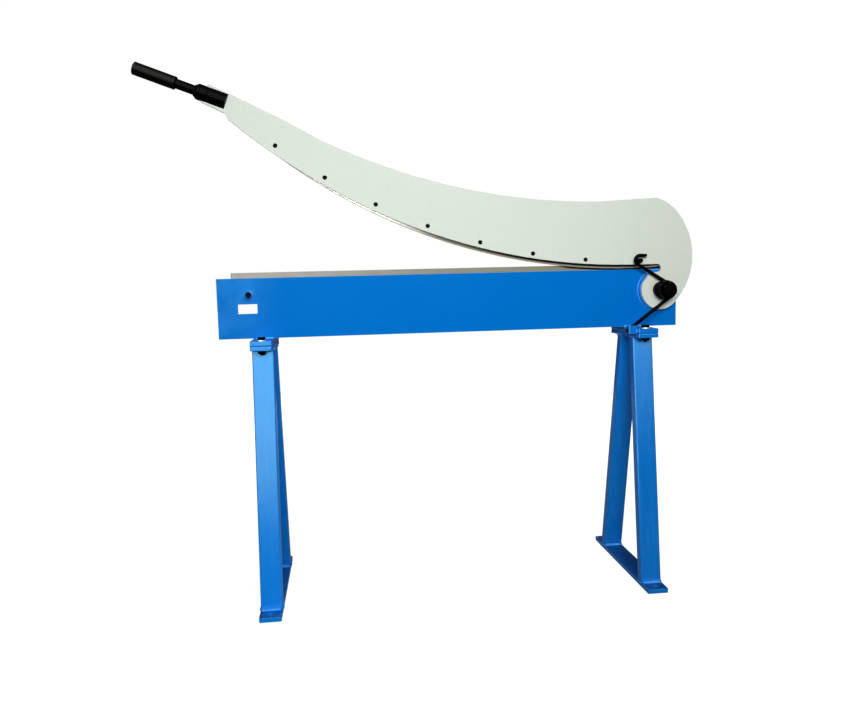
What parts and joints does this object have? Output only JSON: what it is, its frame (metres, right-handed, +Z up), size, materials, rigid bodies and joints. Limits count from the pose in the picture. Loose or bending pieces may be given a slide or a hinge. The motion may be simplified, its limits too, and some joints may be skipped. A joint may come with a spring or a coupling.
{
  "type": "guillotine shear",
  "caption": "Free-standing lever shear: curved arm and blade on a pivot over a straight blade, lifted by a torsion spring, on a channel beam and splayed legs.",
  "frame": {"origin": "floor level at the centre of the four anchor holes", "axes": "+X along the beam towards the pivot end, -Y towards the worker, +Z up"},
  "size_m": [1.3131, 0.383, 1.2549],
  "materials": {
    "blue_paint": "satin enamel",
    "arm_paint": "satin enamel",
    "blade_steel": "ground",
    "black_steel": "black oxide, oiled",
    "zinc": "zinc plated",
    "bronze": "machined",
    "grip": "moulded, slightly glossy",
    "label": "blank white plate"
  },
  "bodies": {
    "stand": {"front_beam": "blue_paint", "label_plate": "label", "left_foot_bar": "blue_paint", "left_front_bolt": "black_steel", "left_front_leg": "blue_paint", "left_front_nut": "black_steel", "left_front_washer": "zinc", "left_leg_plate": "blue_paint", "left_lug_plate": "blue_paint", "left_rear_bolt": "black_steel", "left_rear_leg": "blue_paint", "left_rear_nut": "black_steel", "left_rear_washer": "zinc", "lower_blade": "blade_steel", "lower_blade_screw_1": "black_steel", "lower_blade_screw_2": "black_steel", "lower_blade_screw_3": "black_steel", "lower_blade_screw_4": "black_steel", "lower_blade_screw_5": "black_steel", "pivot_backing": "blue_paint", "pivot_boss": "blue_paint", "pivot_nut": "black_steel", "pivot_stud": "black_steel", "pivot_washer": "black_steel", "return_spring": "black_steel", "right_foot_bar": "blue_paint", "right_front_bolt": "black_steel", "right_front_leg": "blue_paint", "right_front_nut": "black_steel", "right_front_washer": "zinc", "right_leg_plate": "blue_paint", "right_lug_plate": "blue_paint", "right_rear_bolt": "black_steel", "right_rear_leg": "blue_paint", "right_rear_nut": "black_steel", "right_rear_washer": "zinc", "spring_anchor_block": "blue_paint", "spring_sleeve": "black_steel", "stop_nut": "black_steel", "stop_screw": "black_steel", "stop_sleeve": "zinc", "table_bracket_1": "blue_paint", "table_bracket_2": "blue_paint", "table_bracket_3": "blue_paint", "table_plate": "blue_paint"},
    "arm": {"arm_plate": "arm_paint", "upper_blade": "blade_steel", "hook_pin": "black_steel", "pivot_bush": "bronze", "handle_socket": "black_steel", "handle_rod": "black_steel", "handle_grip": "grip", "blade_screw_1": "black_steel", "blade_screw_2": "black_steel", "blade_screw_3": "black_steel", "blade_screw_4": "black_steel", "blade_screw_5": "black_steel", "blade_screw_6": "black_steel", "blade_screw_7": "black_steel"}
  },
  "joints": [
    {"name": "arm_swing", "type": "hinge", "parent": "stand", "child": "arm", "pos_m": [0.514, -0.0529, 0.718], "axis": [0, -1, 0], "range_deg": [0, 18.8], "stiffness_Nm_per_rad": 150, "springref_deg": -28.65, "deforming": ["return_spring"]}
  ]
}
